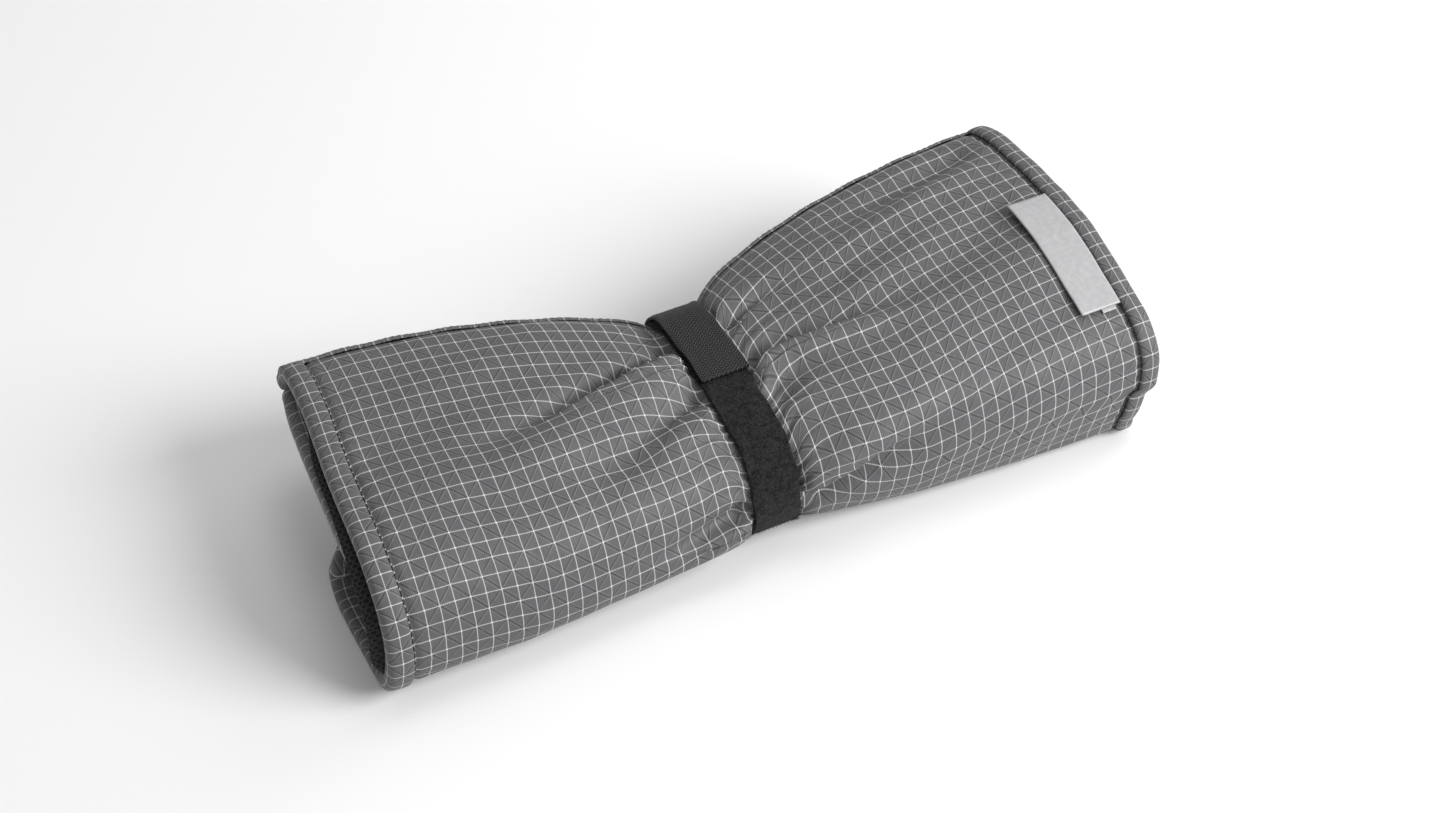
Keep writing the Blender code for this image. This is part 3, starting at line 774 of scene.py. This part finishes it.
def end_tape(name, side, roll, look):
    """the binding folded over an end, puckered between its stitches"""
    profile, across = tape_profile()
    profile[:, 0] *= TAPE_WIDTH[side > 0] / TAPE_WIDTH[0]
    count = int(roll.length / 0.8)
    s = np.linspace(0, roll.length, count)
    grid, uv = [], []
    for (inset, level), distance in zip(profile, across):
        points, facing = plain_row(side * (1 - inset / HALF_LENGTH), roll, count)
        pucker = 0.13 * np.sin(2 * math.pi * s / TAPE_STITCH) * ease((inset - 2.5) / 4)
        pucker += 0.16 * np.sin(0.37 * s + 0.8 * np.sin(0.11 * s))
        grid.append(points + tape_lift(level, pucker)[:, None] * facing)
        uv.append(np.column_stack((s, np.full(count, distance + TAPE_GRID_SHIFT))))
    grid, uv = np.array(grid), np.array(uv)
    if side > 0:
        grid, uv = grid[::-1], uv[::-1]
    return add_tape(name, grid, uv, look)


def add_tape(name, grid, uv, look):
    """the tape as a closed shell"""
    return shell(name, grid, grid - TAPE_CLOTH * grid_normals(grid), look, uv)


def edge_tape(name, first, roll, look):
    """the binding along one of the two long edges, between the end bindings"""
    profile, across = tape_profile()
    reach = HALF_LENGTH - 0.4
    stations = np.linspace(-reach, reach, int(2 * reach / 1.2))
    grid = [[] for _ in profile]
    uv = [[] for _ in profile]
    for x in stations:
        line = roll.section(x / HALF_LENGTH)
        away = outward(line)
        if not first:
            line, away = line[::-1], away[::-1]
        travelled = travel(line[:, 1:])
        ahead = (line[0] - line[1]) / np.linalg.norm(line[0] - line[1])
        for index, ((inset, level), distance) in enumerate(zip(profile, across)):
            point = picked(max(inset, 0), travelled, line)
            face = picked(max(inset, 0), travelled, away)
            pucker = 0.12 * math.sin(2 * math.pi * x / TAPE_STITCH)
            pucker *= float(ease((inset - 2.5) / 4))
            pucker += 0.15 * math.sin(0.33 * x + 0.6)
            lift = tape_lift(level, pucker)
            grid[index].append(point + lift * face + max(-inset, 0) * ahead)
            uv[index].append((x, distance + TAPE_GRID_SHIFT))
    grid, uv = np.array(grid), np.array(uv)
    if first:
        grid, uv = grid[::-1], uv[::-1]
    return add_tape(name, grid, uv, look)


def stitches(name, line, facing, look, length, gap, radius):
    """a row of stitches along a line: each a short thread that dips into the cloth at its ends"""
    travelled = travel(line)
    points, faces = [], []
    # share of the stitch's length, height in thread widths, share of the thread's radius
    bends = [(0.0, -0.5, 0.55), (0.12, 0.0, 0.9), (0.5, 0.32, 1.0), (0.88, 0.0, 0.9),
             (1.0, -0.5, 0.55)]
    sides = 6
    for start in np.arange(gap, travelled[-1] - length - gap, length + gap):
        base = len(points)
        places = [start + share * length for share, _, _ in bends]
        centre = picked(places, travelled, line)
        away = picked(places, travelled, facing)
        ahead = centre[-1] - centre[0]
        ahead /= max(np.linalg.norm(ahead), 1e-9)
        for (_, rise, wide), middle, out in zip(bends, centre, away):
            beside = np.cross(ahead, out)
            for turn in range(sides):
                angle = 2 * math.pi * turn / sides
                points.append(middle + out * (rise * radius * 2 + math.sin(angle) * radius * wide)
                              + beside * math.cos(angle) * radius * wide)
        faces += grid_faces(len(bends), sides, True, base).tolist()
        faces.append(list(range(base, base + sides))[::-1])
        faces.append(list(range(len(points) - sides, len(points))))
    return add_mesh(name, points, faces, look)


def seam_stitches(name, side, grid, coordinates, look):
    """the sewn line in the groove beside an end binding"""
    seam = side * (HALF_LENGTH - TAPE_WIDTH[side > 0] - STITCH_GAP)
    station = int(np.argmin(np.abs(coordinates[:, 0, 0] - seam)))
    facing = grid_normals(grid)[station]
    line = grid[station] + 0.28 * facing
    return stitches(name, line[6:-6], facing[6:-6], look, length=1.9, gap=0.7, radius=0.24)


# ---- the strap ----

HINGE_Y = 16.85  # the tab's hinge line, on top of the roll
TAB_REACH = 27.9  # how far the tab runs forward from the hinge, and its root back from it
ROOT_REACH = 32.9
BAND_CLOTH = 1.35
TAB_CLOTH = 1.25
TAB_LIFT = 1.75  # from the band's inner face to the hook strap's
FIBRE_LIFT = 1.25  # from the band's inner face to its fibres' roots
THREAD_LIFT = 1.38  # from the hook strap's inner face to its stitches


def strap_outline():
    """the band's inner face at the waist, as a closed line of (y, z), and its outward vectors"""
    waist = smooth_open(waist_section(), SPAN_CUTS)
    waist[:, 1] = np.maximum(waist[:, 1], WAIST["low"])
    kept = waist[3 * SPAN_CUTS:13 * SPAN_CUTS + 1, :2]
    back, top = WAIST["back"], WAIST["top"]
    bridge = np.array([(back + 2.0, top - 18), (back + 2.6, top - 11.5), (back + 1.0, top - 6.0),
                       (back - 3.6, top - 1.8), (back - 12.5, top + 0.3)])
    corner = smooth_open(np.vstack((kept[-6:-5], bridge, kept[3:4])), 8)[4:-4]
    line = np.vstack((kept, corner))
    line = np.vstack((line, line[:1]))
    travelled = travel(line)
    at = np.linspace(0, travelled[-1], int(travelled[-1] / 0.7), endpoint=False)
    even = picked(at, travelled, line)
    for _ in range(6):
        even = 0.5 * even + 0.25 * (np.roll(even, 1, axis=0) + np.roll(even, -1, axis=0))
    along = np.roll(even, -1, axis=0) - np.roll(even, 1, axis=0)
    away = unit(np.column_stack((along[:, 1], -along[:, 0])))
    clearance = 0.3
    return even + clearance * away, away


def ribbon_section(width, thickness, edge):
    """a flat tape's closed section with rounded edges: (across, height)"""
    half = width / 2
    top = [(a, thickness) for a in np.linspace(-half + edge, half - edge, 15)]
    right = [(half - edge * (1 - math.sin(t)), thickness / 2 + thickness / 2 * math.cos(t))
             for t in np.linspace(0.35, math.pi - 0.35, 5)]
    low = [(a, 0.0) for a in np.linspace(half - edge, -half + edge, 8)]
    left = [(-half + edge * (1 - math.sin(t)), thickness / 2 - thickness / 2 * math.cos(t))
            for t in np.linspace(0.35, math.pi - 0.35, 5)]
    return np.array(top + right + low + left)


def swept(name, line, away, section, look, closed, rough, seed, aside=0.0):
    """a section carried along a (y, z) line; rough is how much its surface is shaken, in a way
    that the seed fixes, and aside shifts it along the roll"""
    dice = np.random.default_rng(seed)
    rows, count = len(line), len(section)
    travelled = travel(line)
    points = np.zeros((rows, count, 3))
    uv = np.zeros((rows, count, 2))
    sway = 0.22 * np.sin(travelled * 0.21 + seed) + 0.12 * np.sin(travelled * 0.53)
    for column, (across, height) in enumerate(section):
        lift = height + dice.normal(0, rough, rows) * (height > 0.2)
        edge = (abs(across) / STRAP_HALF) ** 4
        lift = lift + 0.25 * edge * np.sin(travelled * 0.31 + across)
        points[:, column, 0] = across + sway + aside
        points[:, column, 1:] = line + lift[:, None] * away
        uv[:, column] = np.column_stack((np.full(rows, across), travelled))
    faces = grid_faces(rows, count, True)[:, ::-1].tolist()
    last = (rows - 1) * count
    if closed:
        faces += [[last + i, i, (i + 1) % count, last + (i + 1) % count][::-1]
                  for i in range(count)]
    else:
        faces.append(list(range(count)))
        faces.append(list(range(last, last + count))[::-1])
    return add_mesh(name, points.reshape(-1, 3), faces, look, uv.reshape(-1, 2))


def fuzz(name, line, away, look, count):
    """short curled fibres standing out of the band's face and edges"""
    dice = np.random.default_rng(7)
    travelled = travel(line)
    points, faces = [], []
    for _ in range(count):
        at = dice.uniform(0, travelled[-1])
        across = dice.uniform(-STRAP_HALF, STRAP_HALF)
        if dice.uniform() < 0.45:
            across = math.copysign(STRAP_HALF - dice.uniform(0, 0.25), across)
        out = picked(at, travelled, away)
        root = np.array((across, *(picked(at, travelled, line) + FIBRE_LIFT * out)))
        lean = np.array((dice.normal(0, 0.45) + 0.5 * np.sign(across) * (abs(across) > 7.6),
                         *(out * dice.uniform(0.3, 0.8) + dice.normal(0, 0.3, 2))))
        bend = dice.normal(0, 0.25, 3)
        thin = dice.normal(0, 1, 3)
        thin = 0.035 * thin / np.linalg.norm(thin)
        start = len(points)
        for share in (0.0, 0.5, 1.0):
            middle = root + lean * share * 0.62 + bend * share * share * 0.5
            points += [middle - thin, middle + thin]
        faces += [[start, start + 1, start + 3, start + 2],
                  [start + 2, start + 3, start + 5, start + 4]]
    return add_mesh(name, points, faces, look, smooth=False)


def hook_strap(outline, away, look):
    """the hook strap over the band, from its sewn root behind to its free end in front"""
    near_top = (outline[:, 1] > outline[:, 1].max() - 5) & (outline[:, 0] > HINGE_Y)
    hinge = np.flatnonzero(near_top)[np.argmin(outline[near_top, 0])]
    facing = np.roll(away, -hinge, axis=0)
    lifted = np.roll(outline, -hinge, axis=0) + TAB_LIFT * facing
    ahead = travel(lifted)
    total = ahead[-1] + np.linalg.norm(lifted[0] - lifted[-1])
    tab = np.flatnonzero(ahead <= TAB_REACH)
    root = np.flatnonzero(ahead >= total - ROOT_REACH)
    run = np.concatenate((root, tab))
    line, out = lifted[run], facing[run]
    section = ribbon_section(2 * STRAP_HALF + 0.3, TAB_CLOTH, edge=0.35)
    strap = swept("hook_strap", line, out, section, look, closed=False, rough=0.015, seed=3,
                  aside=0.55)
    return strap, line, out


def box_stitching(line, out, look):
    """the sewn square that holds the root to the band, low on the back"""
    travelled = travel(line)
    marks = [2.0, 12.0]
    raised = line + THREAD_LIFT * out
    low, high = picked(marks, travelled, raised)
    inside = (travelled > marks[0]) & (travelled < marks[1])
    side = np.vstack((low, raised[inside], high))
    facing = np.vstack((out[0], out[inside], out[0]))
    half = STRAP_HALF - 2
    loop, faces = [], []
    for x, run, way in ((half, side, facing), (-half, side[::-1], facing[::-1])):
        loop += [(x, *point) for point in run]
        faces += [(0.0, *face) for face in way]
    loop.append(loop[0])
    faces.append(faces[0])
    return stitches("root_box_stitches", np.array(loop), np.array(faces), look, length=1.8,
                    gap=0.6, radius=0.22)


# ---- the labels ----

def label_piece(name, roll, look, xs, ys, lift, thickness, curl=0.0):
    """a small cloth rectangle on the top face; curl lifts the edge at the lower x"""
    # the top face and the start of the front, over which y falls steadily
    top = slice(0, 7 * SPAN_CUTS)
    across = np.linspace(*ys, 60)
    rows, uv = [], []
    for x in np.linspace(*xs, 22):
        section = roll.section(x / HALF_LENGTH)
        line, away = section[top], outward(section)[top]
        share = (x - xs[0]) / (xs[1] - xs[0])
        bow = lift + curl * (1 - share) ** 2 * (0.6 + 0.4 * np.cos((across - ys[0]) * 0.12))
        bow = bow + 0.05 * np.sin(across * 0.5)
        rows.append(picked(-across, -line[:, 1], line)
                    + bow[:, None] * picked(-across, -line[:, 1], away))
        uv.append(np.column_stack((np.full(len(across), x), ys[0] - across)))
    grid, uv = np.array(rows), np.array(uv)
    return shell(name, grid + thickness * grid_normals(grid), grid, look, uv)


def dress():
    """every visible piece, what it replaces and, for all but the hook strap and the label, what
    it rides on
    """
    roll = Roll()
    ripstop = ripstop_look()
    hexagons = mesh_look()
    pile = pile_look()
    webbing = webbing_look()
    thread = thread_look()
    satin = satin_look("label_satin", 0.28, 0.50, False)
    tag_look = satin_look("tag_weave", 0.36, 0.55, True)

    skin, grid, coordinates = build_skin(roll, ripstop)
    lining = build_lining(roll, coordinates, hexagons)
    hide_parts("ripstop_skin", "foam_sheet")
    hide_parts("mesh_lining")
    tapes = [end_tape("left_binding_tape", -1, roll, ripstop),
             end_tape("right_binding_tape", 1, roll, ripstop),
             edge_tape("flap_binding_tape", True, roll, ripstop),
             edge_tape("inner_binding_tape", False, roll, ripstop)]
    for tape, node in zip(tapes, ("left_end_binding", "right_end_binding",
                                  "flap_edge_binding", "inner_edge_binding")):
        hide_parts(node)
    seams = [seam_stitches("left_seam_stitches", -1, grid, coordinates, thread),
             seam_stitches("right_seam_stitches", 1, grid, coordinates, thread)]
    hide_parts("left_seam_thread")
    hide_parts("right_seam_thread")

    outline, away = strap_outline()
    section = ribbon_section(2 * STRAP_HALF, BAND_CLOTH, edge=0.45)
    band = swept("loop_band", outline, away, section, pile, closed=True, rough=0.05, seed=2)
    fibres = fuzz("loop_band_fibres", outline, away, pile, count=9000)
    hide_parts("strap_loop_band")
    strap, line, out = hook_strap(outline, away, webbing)
    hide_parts("strap_hook_tab", "strap_hook_root")
    box = box_stitching(line, out, thread)
    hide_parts("strap_box_stitch")

    label = label_piece("satin_label", roll, satin, (112.0, 126.4), (7.6, -39.6), lift=1.0,
                        thickness=0.42, curl=0.5)
    tag = label_piece("side_tag_end", roll, tag_look, (119.6, 124.4), (-29.0, -40.7), lift=0.35,
                      thickness=0.25)
    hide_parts("woven_label")
    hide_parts("side_tag")

    for piece in (skin, lining, *tapes, *seams, band, fibres, box):
        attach(piece, "roll")
    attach(tag, "label")
    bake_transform(strap)
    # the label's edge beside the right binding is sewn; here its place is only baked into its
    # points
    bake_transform(label)


def floor_and_light():
    """a pale floor, one strong soft light in front and two weak ones above and beside"""
    g = Graph("studio_floor")
    shade = g.mix(g.noise(g.place(), 3.0, 2.0), grey(0.86), grey(0.88))
    pale = g.finish(shade, 0.8)
    reach = 6000.0
    corners = [(-reach, -reach, 0), (reach, -reach, 0), (reach, reach, 0), (-reach, reach, 0)]
    floor = add_mesh("studio_floor", corners, [(0, 1, 2, 3)], pale, smooth=False)

    world = bpy.data.worlds.new("studio")
    world.use_nodes = True
    back = world.node_tree.nodes["Background"]
    back.inputs["Color"].default_value = (1.0, 1.0, 1.0, 1.0)
    back.inputs["Strength"].default_value = 0.42
    bpy.context.scene.world = world
    lights = (("key", (1.0, -0.95, 0.95), 1.1, 32.0), ("top", (0.3, 0.3, 1.6), 0.8, 4.0),
              ("side", (1.2, 0.5, 0.9), 0.9, 3.5))
    for name, place, size, power in lights:
        data = bpy.data.lights.new(name, "AREA")
        data.shape = "DISK"
        data.size = size
        data.energy = power
        lamp = bpy.data.objects.new(name, data)
        lamp.location = place
        aim = Vector((0.0, 0.0, 0.03)) - Vector(place)
        lamp.rotation_euler = aim.to_track_quat("-Z", "Y").to_euler()
        bpy.context.scene.collection.objects.link(lamp)


def camera():
    """the photograph's viewpoint: 27 degrees round to the left and 45 above the floor"""
    target = Vector((0.0, -0.0095, 0.030))
    toward = Vector((0.3210, 0.6300, -0.7071)).normalized()
    distance = 0.825
    data = bpy.data.cameras.new("camera")
    data.lens = 65.97
    data.sensor_width = 36.0
    data.clip_start = 0.01
    made = bpy.data.objects.new("camera", data)
    made.location = target - distance * toward
    made.rotation_euler = toward.to_track_quat("-Z", "Y").to_euler()
    bpy.context.scene.collection.objects.link(made)
    bpy.context.scene.camera = made


dress()
floor_and_light()
camera()
bpy.context.scene.view_settings.view_transform = "Standard"
